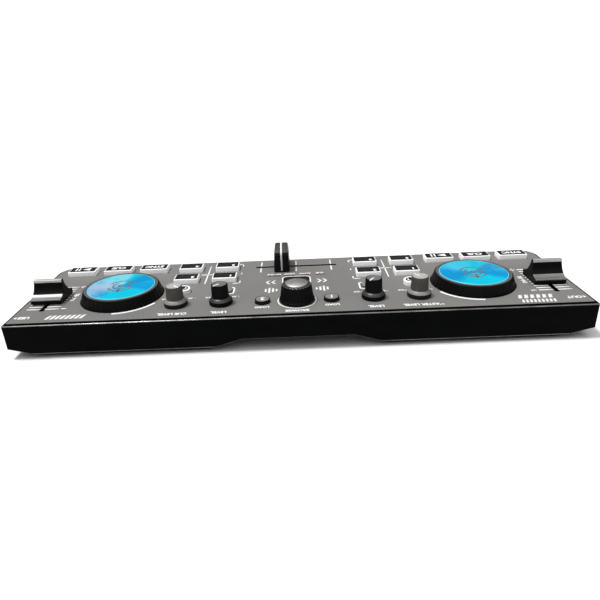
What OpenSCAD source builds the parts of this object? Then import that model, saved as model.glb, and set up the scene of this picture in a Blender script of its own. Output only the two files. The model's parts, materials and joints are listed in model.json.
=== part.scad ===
// Compact two-deck USB DJ controller.
// +X is the player's right, +Y points away from the player (the rear edge), +Z is up.
// The origin is on the desk, under the centre of the case.

/* [Case] */
// Overall width of the case
case_w = 313; // [309:1:316]
// Overall depth of the case, front edge to rear edge
case_d = 86; // [85:0.5:90]
// Height of the case from its underside to the top panel
case_h = 19.3; // [18.9:0.1:21]
// Thickness of the case walls and floor
wall = 2.4; // [2.2:0.1:2.6]
// Radius of the two vertical rear corners
rear_corner_r = 1; // [0.8:0.1:3]
// Radius of the two vertical front corners
front_corner_r = 9.5; // [7:0.5:10]
// How far the sloping ends reach in along the underside
end_slope_run = 20; // [14:0.5:20]
// How far the sloping ends rise up each side
end_slope_rise = 5; // [4:0.5:5]
// Half width of the hollow under the case where it meets the feet
recess_half_w = 50; // [44:1:50]
// Height of the hollow under the middle of the case
recess_h = 5.8; // [3:0.1:5.8]
// How far along the case each side of the hollow slopes
recess_run = 20; // [13:1:21]
// Height of the rubber feet below the case
foot_h = 1.2; // [0.8:0.1:2]
// Radius of each rubber foot
foot_r = 6; // [4:0.5:8]

/* [Panel] */
// Thickness of the top panel plate
panel_t = 2.5; // [2:0.1:2.5]
// Width of the case rim seen round the panel
rim_w = 1.6; // [1.2:0.1:1.8]
// How far the rim stays below the panel's top face
rim_drop = 0.7; // [0:0.1:0.9]
// Gap between the rim and the panel
panel_gap = 0.4; // [0.1:0.05:0.6]

/* [Jog wheels] */
// Distance of each jog wheel's axis from the centre line
jog_x = 101.3; // [100:0.1:102]
// Jog wheel axis and pitch fader centre, rearward of the case centre
jog_y = 8.7; // [8:0.1:9]
// Outer radius of the wheel at its base
jog_r = 23.1; // [22.5:0.1:24]
// Radius of the coloured touch disc
disc_r = 19.2; // [18:0.1:19.4]
// Height of the touch disc above the panel
jog_h = 6; // [5.5:0.1:7]
// Radius of the steel spindle
spindle_r = 3; // [2.5:0.1:3.5]

/* [Knobs] */
// Distance of the deck level knobs from the centre line
level_x = 42; // [41:0.5:43]
// Distance of the master and headphone level knobs from the centre line
master_x = 67; // [66:0.5:68]
// Centre line of all the knobs, rearward of the case centre
knob_y = 25; // [24.5:0.1:25.5]
// Height of the small knobs above the panel
knob_h = 11.6; // [10:0.1:14]
// Radius of a small knob's body
knob_r = 4.5; // [4.2:0.1:5]
// Radius of a small knob's skirt
skirt_r = 6.5; // [6:0.1:7]
// Height of the browse knob above the panel
browse_h = 10; // [9:0.1:13]
// Radius of the browse knob at its foot
browse_r = 9.3; // [8.5:0.1:10]
// Turn of the four small knobs from straight up at rest, clockwise (left level, right level, master, headphones)
knob_turn = [36, 44, 142, -45];

/* [Faders] */
// Distance of the pitch faders from the centre line
pitch_x = 141.8; // [141.4:0.1:142]
// Travel of a pitch fader to each side of its centre
pitch_travel = 15; // [13:0.5:15.5]
// Where the left and right pitch caps stand, rearward of their centres
pitch_rest = [0.6, 1.8];
// Width and length of a pitch cap
pitch_cap = [17.4, 17.6];
// Height of a pitch cap's ridge above the panel
pitch_cap_h = 12.5; // [11:0.1:14]
// Crossfader slot, behind (+) or in front (-) of the case centre
cross_y = -28.5; // [-29:0.1:-28]
// Travel of the crossfader to each side of its centre
cross_travel = 22; // [20:0.5:22.5]
// Where the crossfader cap stands, right of its centre
cross_rest = 8.9; // [-15:0.1:15]
// Width and length of the crossfader cap
cross_cap = [10, 21.6];
// Height of the crossfader cap's ridge above the panel
cross_cap_h = 15.6; // [13:0.1:17]

/* [Buttons] */
// Columns of the performance pads, from the centre line
pad_cols = [43.8, 67];
// Rows of the performance pads, rear row first
pad_rows = [-9.6, -27.9];
// Size of a performance pad
pad_size = [14.8, 9.2];
// Sync, cue and play keys, from each deck's inner side outward
key_cols = [91.3, 114.5, 137.7];
// Centre line of the sync, cue and play keys
key_y = -29.3; // [-29.5:0.1:-28.8]
// Size of a sync, cue or play key
key_size = [17.6, 9];
// Height of the pads and keys above the panel
pad_h = 3; // [2:0.1:4]
// Headphone cue buttons, from the centre line and rearward
listen_pos = [66.5, 7.5];
// Radius of a headphone cue button
listen_r = 4.6; // [4:0.1:5]
// Pad mode buttons, from the centre line and rearward
mode_pos = [42, 8];
// Size of a pad mode button
mode_size = [8.6, 6.6];
// Load buttons, from the centre line and rearward
load_pos = [19, 25.6];
// Radius of a load button
load_r = 4.2; // [3.8:0.1:4.6]
// How far every button travels when pressed
press = 0.8; // [0.4:0.05:0.8]

/* [Hidden] */
$fn = 64;
eps = 0.01;
fit = 0.05;                          // clearance between a part and the one that carries it
slip = 0.02;                         // clearance of a part pushed onto a shaft or blade
panel_z = foot_h + case_h;           // top of the panel
under_z = panel_z - panel_t;         // underside of the panel
board_t = 1.6;
board_z = under_z - 6.5;             // top of the circuit board
board_half_w = 150.5;
board_half_d = 39;
switch_h = 3.2;                      // body of a key switch
plunger_h = 0.8;
flange_t = 1;                        // collar that keeps a button under the panel
flange_w = 0.8;
key_gap = 0.2;                       // gap round a button in its opening
stem_z = board_z + switch_h + plunger_h + press + fit;
pot_h = 5.8;
shaft_r = 3;
shaft_foot = 1.5;                    // height of a control shaft's end above the board
blade_t = 1.2;                       // fader lever blade
blade_w = 4;
slot_w = 2;
post_r = 2.8;
posts = [[54.5, 36.4], [133, 36.4], [55.4, -37], [126.1, -37]];
feet = [[122, 30], [122, -30]];
screw_r = 1.2;
screw_head = [2.6, 1.5];             // radius and height
jack_y = [36, 25];
jack_z = board_z - 2.1;
jack_r = 1.8;
jack_barrel = [7, 3];                // length and radius of the round nose
usb_y = 26.5;
usb_size = [6.4, 7.6, 2.8];
left = -1;
right = 1;

// ---------- shared shapes ----------

// Case outline seen from above, drawn in by "inset" on every side.
module case_outline(inset) {
    rear_r = max(rear_corner_r - inset, 0.6);
    front_r = max(front_corner_r - inset, 0.6);
    x = case_w / 2 - inset;
    y = case_d / 2 - inset;
    difference() {
        square([2 * x, 2 * y], center = true);
        for (side = [left, right]) {
            outline_corner(side * x, y, -side, -1, rear_r);
            outline_corner(side * x, -y, -side, 1, front_r);
        }
    }
}

// The sliver between a square corner at x, y and its rounding.
module outline_corner(x, y, to_x, to_y, r) {
    difference() {
        translate([x + to_x * (r / 2 - eps), y + to_y * (r / 2 - eps)])
            square(r + 2 * eps, center = true);
        translate([x + to_x * r, y + to_y * r]) circle(r);
    }
}

// Rectangle with round corners, centred.
module round_rect(size, r) {
    square([size[0] - 2 * r, size[1]], center = true);
    square([size[0], size[1] - 2 * r], center = true);
    for (x = [-1, 1])
        for (y = [-1, 1])
            translate([x * (size[0] / 2 - r), y * (size[1] / 2 - r)]) circle(r);
}

// Slot with round ends, centred, long along X.
module slot(length, width) {
    square([length - width, width], center = true);
    for (x = [-1, 1]) translate([x * (length - width) / 2, 0]) circle(width / 2);
}

// One copy on each deck.
module both_decks() {
    for (side = [left, right]) mirror([side == left ? 1 : 0, 0, 0]) children();
}

// Stands its 2D child, drawn as across and up, facing front and rear; "depth" is its length in Y.
module along_y(depth) {
    translate([0, depth / 2, 0]) rotate([90, 0, 0]) linear_extrude(depth) children();
}

// Stands its 2D child, drawn as front-to-rear and up, facing the sides; "width" is its length in X.
module along_x(width) {
    translate([-width / 2, 0, 0]) rotate([90, 0, 90]) linear_extrude(width) children();
}

// ---------- case ----------

// Case seen from the rear: sloping ends and the hollow under the middle.
module case_front_view(inset) {
    half = case_w / 2 - inset;
    low = foot_h + inset;
    recess_top_half = recess_half_w - recess_run;
    polygon([
        [-half, panel_z + 1], [-half, foot_h + end_slope_rise + inset],
        [-half + end_slope_run, low],
        [-recess_half_w - inset, low], [-recess_top_half - inset, low + recess_h],
        [recess_top_half + inset, low + recess_h], [recess_half_w + inset, low],
        [half - end_slope_run, low],
        [half, foot_h + end_slope_rise + inset], [half, panel_z + 1]]);
}

// Case seen from the side: small bevels along the lower edges.
module case_side_view(inset) {
    half = case_d / 2 - inset;
    low = foot_h + inset;
    bevel = 1.7;
    polygon([
        [-half, panel_z + 1], [-half, low + bevel], [-half + bevel, low],
        [half - bevel, low], [half, low + bevel], [half, panel_z + 1]]);
}

module case_block(inset, top) {
    intersection() {
        translate([0, 0, foot_h]) linear_extrude(top - foot_h) case_outline(inset);
        along_y(case_d + 2) case_front_view(inset);
        along_x(case_w + 2) case_side_view(inset);
    }
}

module screw_places() {
    both_decks() for (p = posts) translate([p[0], p[1], 0]) children();
}

module bottom_case() color([0.03, 0.03, 0.035])
    difference() {
        union() {
            difference() {
                case_block(0, panel_z - rim_drop);
                case_block(wall, panel_z + 1);
                translate([0, 0, under_z]) linear_extrude(panel_t + 1) case_outline(rim_w);
            }
            intersection() {
                screw_places() cylinder(h = board_z - board_t - fit, r = post_r + 0.8);
                case_block(wall / 2, panel_z);
            }
        }
        screw_places() {
            cylinder(h = panel_z, r = screw_r + 0.3);
            cylinder(h = foot_h + wall + 0.5, r = screw_head[0] + 0.3);
        }
        both_decks() for (p = feet)
            translate([p[0], p[1], 0]) cylinder(h = foot_h + 0.5, r = foot_r + fit);
        for (y = jack_y)
            translate([-case_w / 2 - 1, y, jack_z]) rotate([0, 90, 0])
                cylinder(h = jack_barrel[0] + 2.1, r = jack_barrel[1] + fit);
        translate([case_w / 2, usb_y, board_z + usb_size[2] / 2])
            cube([8, usb_size[1] + 0.6, usb_size[2] + 0.6], center = true);
    }

module rubber_feet() color([0.05, 0.05, 0.05])
    both_decks() for (p = feet) translate([p[0], p[1], 0]) cylinder(h = foot_h + 0.45, r = foot_r);

module case_screws() color([0.55, 0.55, 0.57])
    screw_places() {
        head_z = foot_h + wall + 0.5 - screw_head[1] - fit;
        translate([0, 0, head_z]) difference() {
            cylinder(h = screw_head[1], r = screw_head[0]);
            for (a = [0, 90]) rotate(a) cube([3, 0.7, 1.6], center = true);
        }
        translate([0, 0, head_z + 1]) cylinder(h = under_z - head_z - 2, r = screw_r);
    }

// ---------- top panel ----------

module panel_openings() {
    both_decks() {
        translate([jog_x, jog_y]) circle(jog_r + 0.6, $fn = 128);
        translate([pitch_x, jog_y]) rotate(90) slot(2 * pitch_travel + blade_w + 2.4, slot_w);
        for (x = [level_x, master_x]) translate([x, knob_y]) circle(shaft_r + 0.6);
        translate(load_pos) circle(load_r + key_gap);
        translate(listen_pos) circle(listen_r + key_gap);
        translate(mode_pos) round_rect([for (s = mode_size) s + 2 * key_gap], 2);
        for (x = pad_cols)
            for (y = pad_rows)
                translate([x, y]) round_rect([for (s = pad_size) s + 2 * key_gap], 0.8);
        for (x = key_cols)
            translate([x, key_y]) round_rect([for (s = key_size) s + 2 * key_gap], 0.8);
    }
    translate([0, knob_y]) circle(4.4);
    translate([0, cross_y]) slot(2 * cross_travel + blade_w + 4, slot_w - 0.3);
}

module top_panel() color([0.38, 0.37, 0.35]) {
    translate([0, 0, under_z + fit]) linear_extrude(panel_t - fit) difference() {
        case_outline(rim_w + panel_gap);
        panel_openings();
    }
    screw_places() translate([0, 0, board_z + fit]) difference() {
        cylinder(h = under_z - board_z + 0.5, r = post_r);
        translate([0, 0, -1]) cylinder(h = under_z - board_z + 0.6, r = screw_r + fit);
    }
}

// ---------- electronics ----------

module main_board() color([0.05, 0.25, 0.12])
    translate([0, 0, board_z - board_t]) difference() {
        linear_extrude(board_t) square([2 * board_half_w, 2 * board_half_d], center = true);
        screw_places() translate([0, 0, -1]) cylinder(h = 4, r = screw_r + 0.3);
        translate([-board_half_w - 10, 18, -1]) cube([20, 30, 4]);
        for (x = [left, right], y = [left, right])
            translate([x * board_half_w, y * board_half_d, 0]) rotate(45)
                cube([6, 6, 8], center = true);
    }

// Every place where a button stands over a key switch, on one deck.
function switch_places() = concat(
    [for (x = pad_cols, y = pad_rows) [x, y]],
    [for (x = key_cols) [x, key_y]],
    [load_pos, listen_pos, mode_pos]);

module key_switches() color([0.12, 0.12, 0.13])
    both_decks() for (p = switch_places()) translate([p[0], p[1], board_z]) {
        translate([0, 0, switch_h / 2]) cube([6, 6, switch_h], center = true);
        translate([0, 0, switch_h - eps]) cylinder(h = plunger_h + eps, r = 1.75);
    }

module pad_leds() color([0.9, 0.9, 0.8])
    both_decks() {
        led_size = [2.8, 3.2, 1.4];
        for (x = pad_cols, y = pad_rows)
            translate([x + 5.2, y, board_z + led_size[2] / 2]) cube(led_size, center = true);
        for (x = key_cols)
            translate([x + 5.8, key_y, board_z + led_size[2] / 2]) cube(led_size, center = true);
    }

module rotary_pots() color([0.45, 0.47, 0.42])
    both_decks() for (x = [level_x, master_x]) translate([x, knob_y, board_z]) difference() {
        union() {
            translate([-4.9, -5.5, 0]) cube([9.8, 11, 4.4]);
            cylinder(h = 5.6, r = 4.4);
        }
        translate([0, 0, shaft_foot - fit]) cylinder(h = 6, r = shaft_r + fit);
    }

module browse_encoder() color([0.2, 0.22, 0.2])
    translate([0, knob_y, board_z]) difference() {
        union() {
            translate([-6, -6, 0]) cube([12, 12, 4.4]);
            cylinder(h = 6, r = 5.4);
        }
        translate([0, 0, 0.7]) cylinder(h = 6, r = 3.9 + fit);
    }

// Slide potentiometer body, long along X, open along the top for its lever.
module slide_pot(travel) {
    inner = 2 * travel + blade_w + 2;
    difference() {
        translate([-inner / 2 - 3, -3.5, 0]) cube([inner + 6, 7, pot_h]);
        translate([-inner / 2, -2.4, 1]) cube([inner, 4.8, pot_h - 2]);
        translate([-inner / 2, -slot_w / 2, 1]) cube([inner, slot_w, pot_h]);
    }
}

module pitch_slide_pots() color([0.6, 0.6, 0.6])
    both_decks() translate([pitch_x, jog_y, board_z]) rotate(90) slide_pot(pitch_travel);

module crossfader_pot() color([0.6, 0.6, 0.6])
    translate([0, cross_y, board_z]) slide_pot(cross_travel);

module usb_socket() color([0.75, 0.75, 0.77])
    translate([case_w / 2 - 0.8 - usb_size[0], usb_y, board_z + fit]) difference() {
        translate([0, -usb_size[1] / 2, 0]) cube(usb_size);
        translate([0.8, -usb_size[1] / 2 + 0.4, 0.4])
            cube([usb_size[0], usb_size[1] - 0.8, usb_size[2] - 0.8]);
    }

// Two stereo sockets, low at the left rear; the nose of each fills its hole in the case wall.
module audio_jacks() color([0.07, 0.07, 0.08])
    for (y = jack_y) translate([-case_w / 2 + 0.9, y, jack_z]) difference() {
        union() {
            rotate([0, 90, 0]) cylinder(h = jack_barrel[0], r = jack_barrel[1]);
            translate([jack_barrel[0] - 0.4, -3.2, -2]) cube([6.4, 6.4, 4]);
        }
        translate([-1, 0, 0]) rotate([0, 90, 0]) cylinder(h = 13, r = jack_r);
    }

module control_chips() color([0.06, 0.06, 0.07]) {
    translate([0, -8, board_z + 0.7]) cube([10, 10, 1.4], center = true);
    translate([-24, 2, board_z + 0.6]) cube([7, 7, 1.2], center = true);
    translate([22, 2, board_z + 0.9]) cube([8, 5, 1.8], center = true);
}

// ---------- jog wheels ----------

plate_t = 1.4;
wheel_r = 12;                        // slotted code wheel under the plate
wheel_z = board_z + 2.6;

module at_jog(side) {
    translate([side * jog_x, jog_y, 0]) children();
}

module jog_bearing_plates() color([0.5, 0.5, 0.5])
    for (side = [left, right]) at_jog(side) difference() {
        union() {
            translate([0, 0, under_z - plate_t]) cylinder(h = plate_t, r = jog_r + 3.4, $fn = 128);
            translate([0, 0, under_z - 2.6]) cylinder(h = 4, r = spindle_r + 3);
        }
        translate([0, 0, board_z]) cylinder(h = 12, r = spindle_r + fit);
    }

module jog_sensors() color([0.09, 0.09, 0.1])
    for (side = [left, right]) at_jog(side) translate([0, -wheel_r - 1.6, board_z]) difference() {
        translate([-3, -2.4, 0]) cube([6, 6, 4.2]);
        translate([-4, -0.4, wheel_z - board_z - 0.4]) cube([8, 6, 1.5]);
    }

module jog_rim(side) color([0.04, 0.04, 0.045])
    at_jog(side) translate([0, 0, panel_z]) rotate_extrude($fn = 128) polygon([
        [spindle_r + slip, 1.9], [spindle_r + slip, 3.2],
        [disc_r - 2, 3.2], [disc_r - 2, jog_h - 1.6],
        [disc_r + 0.2, jog_h - 1.6], [disc_r + 0.2, jog_h + 0.3],
        [disc_r + 1.2, jog_h + 0.3], [jog_r - 1.7, jog_h - 0.3],
        [jog_r, 0.8], [jog_r, -1], [jog_r - 1.6, -1], [jog_r - 2.6, 1.9]]);

module jog_disc(side) color([0.05, 0.62, 0.85])
    at_jog(side) translate([0, 0, panel_z]) rotate_extrude($fn = 128) polygon([
        [0, jog_h - 1.6 + slip], [disc_r, jog_h - 1.6 + slip],
        [disc_r, jog_h - 0.2], [disc_r - 0.4, jog_h], [0, jog_h]]);

module jog_spindle(side) color([0.7, 0.7, 0.72])
    at_jog(side) difference() {
        union() {
            translate([0, 0, wheel_z - 0.6]) cylinder(h = panel_z + 3.6 - wheel_z, r = spindle_r);
            translate([0, 0, under_z + 1.6]) cylinder(h = panel_t + 0.2, r = 7);
            translate([0, 0, wheel_z]) cylinder(h = 0.6, r = wheel_r);
        }
        for (a = [0:15:345])
            rotate(a) translate([wheel_r - 1.6, 0, wheel_z]) cube([1.8, 0.9, 4], center = true);
    }

// ---------- faders ----------

// Side view of half a pitch cap from its ridge down to the lip: a hollow curve.
function saddle_curve(half, lip_h, top) = let (ridge = 1.2, run = half - ridge, drop = top - lip_h)
    [for (a = [0:15:90]) [ridge + run * (1 - cos(a)), lip_h + drop * (1 - sin(a))]];

module pitch_cap_shape() {
    half = pitch_cap[1] / 2;
    lip_h = 2.8;
    curve = saddle_curve(half - 0.7, lip_h, pitch_cap_h);
    side_view = concat(
        [[half, 0.5], [half, lip_h - 0.5]],
        [for (i = [len(curve) - 1:-1:0]) curve[i]],
        [for (p = curve) [-p[0], p[1]]],
        [[-half, lip_h - 0.5], [-half, 0.5]]);
    top_half_w = pitch_cap[0] / 2 - 0.7;
    difference() {
        intersection() {
            along_x(pitch_cap[0]) polygon(side_view);
            along_y(pitch_cap[1] + 2) polygon([
                [-pitch_cap[0] / 2, 0], [pitch_cap[0] / 2, 0], [pitch_cap[0] / 2, lip_h],
                [top_half_w, pitch_cap_h + 1], [-top_half_w, pitch_cap_h + 1],
                [-pitch_cap[0] / 2, lip_h]]);
        }
        translate([0, 0, 4]) cube([blade_t + 2 * slip, blade_w + 2 * slip, 8.2], center = true);
    }
}

module at_pitch(side) {
    translate([side * pitch_x, jog_y + pitch_rest[side == left ? 0 : 1], 0]) children();
}

module pitch_cap(side) color([0.1, 0.1, 0.11])
    at_pitch(side) translate([0, 0, panel_z]) pitch_cap_shape();

// Lever blade with the carriage that rides inside the potentiometer.
module lever(top) {
    translate([-blade_w / 2, -blade_t / 2, board_z + 2]) cube([blade_w, blade_t, top - board_z - 2]);
    translate([-blade_w / 2, -2, board_z + 1.5]) cube([blade_w, 4, 2.5]);
}

module pitch_lever(side) color([0.7, 0.7, 0.7]) at_pitch(side) rotate(90) lever(panel_z + 8);

module crossfader_cap() color([0.03, 0.03, 0.03])
    translate([cross_rest, cross_y, panel_z]) difference() {
        half = cross_cap[1] / 2;
        half_w = cross_cap[0] / 2;
        shoulder = cross_cap_h - 3;
        intersection() {
            along_x(cross_cap[0]) polygon([
                [-half, 0.5], [half, 0.5], [half - 1.3, shoulder],
                [half - 4.5, cross_cap_h - 1.2], [3, cross_cap_h - 0.1], [-3, cross_cap_h - 0.1],
                [-half + 4.5, cross_cap_h - 1.2], [-half + 1.3, shoulder]]);
            along_y(cross_cap[1] + 2) polygon([
                [-half_w, 0], [half_w, 0], [half_w - 1, shoulder],
                [half_w - 1.9, cross_cap_h - 1], [1.4, cross_cap_h],
                [-1.4, cross_cap_h], [-half_w + 1.9, cross_cap_h - 1], [-half_w + 1, shoulder]]);
        }
        translate([0, 0, 4]) cube([blade_w + 2 * slip, blade_t + 2 * slip, 8.2], center = true);
    }

module crossfader_lever() color([0.7, 0.7, 0.7])
    translate([cross_rest, cross_y, 0]) lever(panel_z + 8);

// ---------- knobs ----------

knob_foot = 0.5;                     // gap under a knob
bore_h = 7.5;                        // depth of a knob's bore above the panel

module at_knob(x) {
    translate([x, knob_y, 0]) children();
}

// Small knob: skirt, slightly tapered body, dished pointer groove pointing the way it is turned.
module small_knob(x, turn) {
    at_knob(x) translate([0, 0, panel_z]) rotate(-turn) difference() {
        rotate_extrude() polygon([
            [0, knob_foot], [skirt_r, knob_foot], [skirt_r, 1.3], [knob_r + 0.5, 3.4],
            [knob_r + 0.2, 3.6], [knob_r, knob_h - 0.4], [knob_r - 0.4, knob_h], [0, knob_h]]);
        translate([0, 0, -1]) cylinder(h = bore_h + 1, r = shaft_r + slip);
        translate([0, knob_r / 2, knob_h]) cube([0.7, knob_r + 1, 0.5], center = true);
    }
}

// Round control shaft from inside its potentiometer up into the knob.
module knob_shaft(x) color([0.72, 0.72, 0.72])
    at_knob(x) translate([0, 0, board_z + shaft_foot])
        cylinder(h = panel_z + bore_h - slip - board_z - shaft_foot, r = shaft_r);

module level_knob_left() color([0.06, 0.06, 0.06]) small_knob(-level_x, knob_turn[0]);
module level_knob_right() color([0.06, 0.06, 0.06]) small_knob(level_x, knob_turn[1]);
module master_knob() color([0.4, 0.39, 0.38]) small_knob(-master_x, knob_turn[2]);
module headphone_knob() color([0.4, 0.39, 0.38]) small_knob(master_x, knob_turn[3]);

module browse_knob() color([0.05, 0.05, 0.05])
    at_knob(0) translate([0, 0, panel_z]) difference() {
        rotate_extrude() polygon([
            [0, 1], [browse_r + 0.6, 1], [browse_r + 0.6, 1.5], [browse_r, 2],
            [browse_r - 1.2, browse_h - 0.4], [browse_r - 1.6, browse_h], [0, browse_h]]);
        cylinder(h = bore_h, r = shaft_r + slip);
        translate([0, 0, browse_h - 1]) cylinder(h = 2, r = 6.2 + slip);
        for (a = [0:15:345])
            rotate(a) translate([browse_r - 0.1, 0, 2]) rotate([0, -8, 0])
                cylinder(h = browse_h, r = 0.5, $fn = 24);
    }

// Silver insert with a domed top.
module browse_insert() color([0.75, 0.74, 0.72])
    at_knob(0) translate([0, 0, panel_z + browse_h - 1 + slip]) intersection() {
        cylinder(h = 4, r = 6.2);
        translate([0, 0, 2.2 - 20]) sphere(r = 20, $fn = 128);
    }

module browse_shaft() color([0.72, 0.72, 0.72])
    at_knob(0) translate([0, 0, board_z + 2.5])
        cylinder(h = panel_z + bore_h - slip - board_z - 2.5, r = shaft_r);

// Sleeve that moves down with the browse knob and lets the shaft turn inside it.
module browse_sleeve() color([0.6, 0.6, 0.58])
    at_knob(0) translate([0, 0, board_z + 1.6]) difference() {
        cylinder(h = 6.2, r = 3.9);
        translate([0, 0, 0.9 - fit]) cylinder(h = 8, r = shaft_r + fit);
    }

// ---------- buttons ----------

// A button: its top above the panel, the collar under the panel and the stem over its switch.
module button(pos, top_h) {
    translate([pos[0], pos[1], 0]) {
        translate([0, 0, under_z - fit - flange_t / 2]) linear_extrude(panel_t + top_h + fit + flange_t / 2)
            children(0);
        translate([0, 0, under_z - fit - flange_t]) linear_extrude(flange_t) children(1);
        translate([0, 0, stem_z]) cylinder(h = under_z - stem_z - flange_t / 2, r = 1.8);
    }
}

module pad(side, col, row) color([0.82, 0.82, 0.85])
    button([side * pad_cols[col], pad_rows[row]], pad_h) {
        round_rect(pad_size, 0.6);
        round_rect([for (s = pad_size) s + 2 * flange_w], 0.6);
    }

module key(side, col) color([0.85, 0.85, 0.88])
    button([side * key_cols[col], key_y], pad_h) {
        round_rect(key_size, 0.6);
        round_rect([for (s = key_size) s + 2 * flange_w], 0.6);
    }

module listen_button(side) color([0.85, 0.85, 0.87])
    button([side * listen_pos[0], listen_pos[1]], 2.5) {
        circle(listen_r);
        circle(listen_r + flange_w);
    }

module load_button(side) color([0.3, 0.3, 0.3])
    button([side * load_pos[0], load_pos[1]], 2) {
        circle(load_r);
        circle(load_r + flange_w);
    }

module mode_button(side) color([0.35, 0.35, 0.35])
    button([side * mode_pos[0], mode_pos[1]], 1) {
        round_rect(mode_size, 1.8);
        round_rect([for (s = mode_size) s + 2 * flange_w], 1.8);
    }

// ---------- assembly ----------

bottom_case();
top_panel();
rubber_feet();
case_screws();
main_board();
key_switches();
pad_leds();
rotary_pots();
browse_encoder();
pitch_slide_pots();
crossfader_pot();
usb_socket();
audio_jacks();
jog_bearing_plates();
jog_sensors();
control_chips();
jog_rim(left);  // jog_rim_left
jog_rim(right);  // jog_rim_right
jog_disc(left);  // jog_disc_left
jog_disc(right);  // jog_disc_right
jog_spindle(left);  // jog_spindle_left
jog_spindle(right);  // jog_spindle_right
pitch_cap(left);  // pitch_cap_left
pitch_cap(right);  // pitch_cap_right
pitch_lever(left);  // pitch_lever_left
pitch_lever(right);  // pitch_lever_right
crossfader_cap();
crossfader_lever();
master_knob();
knob_shaft(-master_x);  // master_shaft
headphone_knob();
knob_shaft(master_x);  // headphone_shaft
level_knob_left();
knob_shaft(-level_x);  // level_shaft_left
level_knob_right();
knob_shaft(level_x);  // level_shaft_right
browse_knob();
browse_insert();
browse_shaft();
browse_sleeve();
load_button(left);  // load_button_left
load_button(right);  // load_button_right
listen_button(left);  // listen_button_left
listen_button(right);  // listen_button_right
mode_button(left);  // mode_button_left
mode_button(right);  // mode_button_right
// Pads 1 and 2 are the rear row and 3 and 4 the front row, counted from the player's left.
pad(left, 1, 0);  // pad_left_1
pad(left, 0, 0);  // pad_left_2
pad(left, 1, 1);  // pad_left_3
pad(left, 0, 1);  // pad_left_4
pad(right, 0, 0);  // pad_right_1
pad(right, 1, 0);  // pad_right_2
pad(right, 0, 1);  // pad_right_3
pad(right, 1, 1);  // pad_right_4
// Sync, cue and play run from the player's left to right on both decks.
key(left, 2);  // sync_key_left
key(left, 1);  // cue_key_left
key(left, 0);  // play_key_left
key(right, 0);  // sync_key_right
key(right, 1);  // cue_key_right
key(right, 2);  // play_key_right
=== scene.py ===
"""Looks for a compact two-deck DJ controller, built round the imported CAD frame.

Shapes are drawn in millimetres and scaled to metres when a mesh is made.
X is the player's right, Y the rear, Z up. Prints read the right way up for the player.
"""

import json
from math import cos, hypot, pi, radians, sin

import bmesh
import bpy
from mathutils import Matrix, Quaternion, Vector


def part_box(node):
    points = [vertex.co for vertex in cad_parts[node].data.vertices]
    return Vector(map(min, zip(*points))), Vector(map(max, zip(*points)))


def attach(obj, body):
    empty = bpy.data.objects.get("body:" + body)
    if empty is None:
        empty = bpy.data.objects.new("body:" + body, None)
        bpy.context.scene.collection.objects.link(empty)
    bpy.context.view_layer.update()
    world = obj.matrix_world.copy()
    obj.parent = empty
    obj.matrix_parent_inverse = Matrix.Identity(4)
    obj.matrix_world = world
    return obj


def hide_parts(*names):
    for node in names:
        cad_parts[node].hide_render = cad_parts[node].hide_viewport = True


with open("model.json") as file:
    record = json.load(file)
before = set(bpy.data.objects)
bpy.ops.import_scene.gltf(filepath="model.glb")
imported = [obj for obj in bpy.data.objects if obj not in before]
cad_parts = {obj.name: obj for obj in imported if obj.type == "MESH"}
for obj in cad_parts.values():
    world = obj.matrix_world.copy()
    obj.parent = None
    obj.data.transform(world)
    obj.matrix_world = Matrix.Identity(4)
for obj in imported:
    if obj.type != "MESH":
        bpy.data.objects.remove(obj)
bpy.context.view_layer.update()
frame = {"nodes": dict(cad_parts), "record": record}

# ---- dimensions, in millimetres

MM = 0.001

# case
RIM_W = 1.6
RIM_ROUND = 0.45
WALL = 2.4
REAR_R, FRONT_R = 1.0, 9.5
LOWER_BEVEL = 1.7
# width of the lower chamfer that carries the painted edge highlight
EDGE_HIGHLIGHT_W = 0.22
SLOPE_RUN, SLOPE_RISE = 20.0, 5.0
RECESS_HALF_W, RECESS_H, RECESS_RUN = 50.0, 5.8, 20.0
JACK_BORE_R, JACK_BORE_DEPTH = 3.05, 8.1
JACK_NOSE_R, JACK_INSET = 3.0, 3.2
SCREW_HEAD_R, SCREW_WELL_R, SCREW_WELL_DEPTH = 2.6, 2.9, 3.3
REAR_SCREW_X, FRONT_SCREW_X = 54.5, (55.4, 126.1)
FOOT_R, FOOT_SEAT_R, FOOT_SEAT_DEPTH = 6.0, 6.05, 0.5

# panel and its openings
PANEL_T = 2.5
PANEL_GAP = 0.4
CAP_GAP, JOG_GAP = 0.2, 0.6
PITCH_SLOT = (2.8, 36.4)
CROSS_SLOT = (52.0, 2.3)
SLOT_R = 1.1
KNOB_HOLE_R, BROWSE_HOLE_R = 3.6, 4.4

# wheels, caps and knobs
JOG_RIBS, JOG_RIB_DEPTH = 44, 0.26
COLLAR = 0.8
STEM_R = 1.8
KNOB_FLUTES, BROWSE_FLUTES = 20, 26
# heights of the pitch caps' silver bands, which are painted reflection
CREST_BAND = 1.3
LIP_BAND = (2.7, 5.3)
CROSS_LINE_W = 1.1

# print
PRINT_H = 0.05
PRINT_LIFT = 0.005
LABEL_WEIGHT = 0.08  # swelling of a letter, as a share of its height; from 0.1 up, outlines cross
FONT_SIZE_PER_HEIGHT = 1.38

# stage
LENS_MM = 31.32
SENSOR_MM = 36.0
SHIFT = (0.0164, -0.007)
EYE_M = (-0.0011, 0.2872, 0.1391)
LOOK = (0.01677, -0.91454, -0.40414)
ROLL_DEG = -2.68
ZENITH_LIGHT, BACKDROP_LIGHT = 1.3, 1.2
LIGHT_FALLOFF = 1.8
REAR_FILL = 0.6
KEY_ENERGY = 3.0
KEY_SPREAD_DEG = 12
LIGHT_TRAVEL = (-0.35, 0.04, -1)
FLOOR_HALF_W = 2500

# ---- places, read from the CAD frame

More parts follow.
